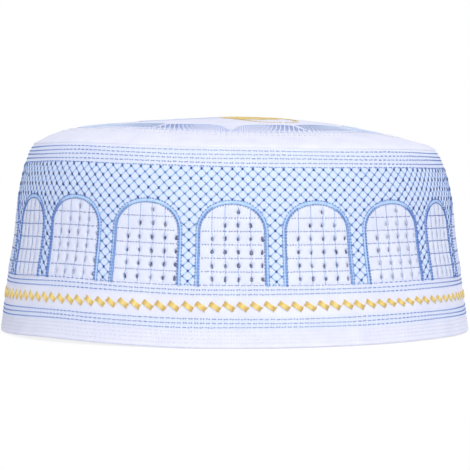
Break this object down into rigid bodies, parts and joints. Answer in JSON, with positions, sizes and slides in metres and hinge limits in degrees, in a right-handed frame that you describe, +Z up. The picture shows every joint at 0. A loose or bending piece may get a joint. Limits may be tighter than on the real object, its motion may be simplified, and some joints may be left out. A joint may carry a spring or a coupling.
{
  "type": "embroidered prayer cap",
  "caption": "Round, stiff embroidered prayer cap with a tall side band of pierced arched windows and a low domed crown, open underneath.",
  "frame": {"origin": "centre of the open rim, on the surface that the cap stands on", "axes": "+Z up through the crown, -Y towards the front, +X to the right as seen from the front"},
  "size_m": [0.1888, 0.1888, 0.0857],
  "materials": {
    "band_cotton": "white quilted cotton, pierced with eyelets",
    "crown_cotton": "white quilted cotton",
    "blue_thread": "silky light blue embroidery thread, in satin borders, lattice and stitched rows",
    "gold_thread": "silky gold embroidery thread",
    "white_thread": "white sewing thread along the hem"
  },
  "bodies": {
    "root": {"side_band": "band_cotton", "crown": "crown_cotton"}
  },
  "joints": []
}
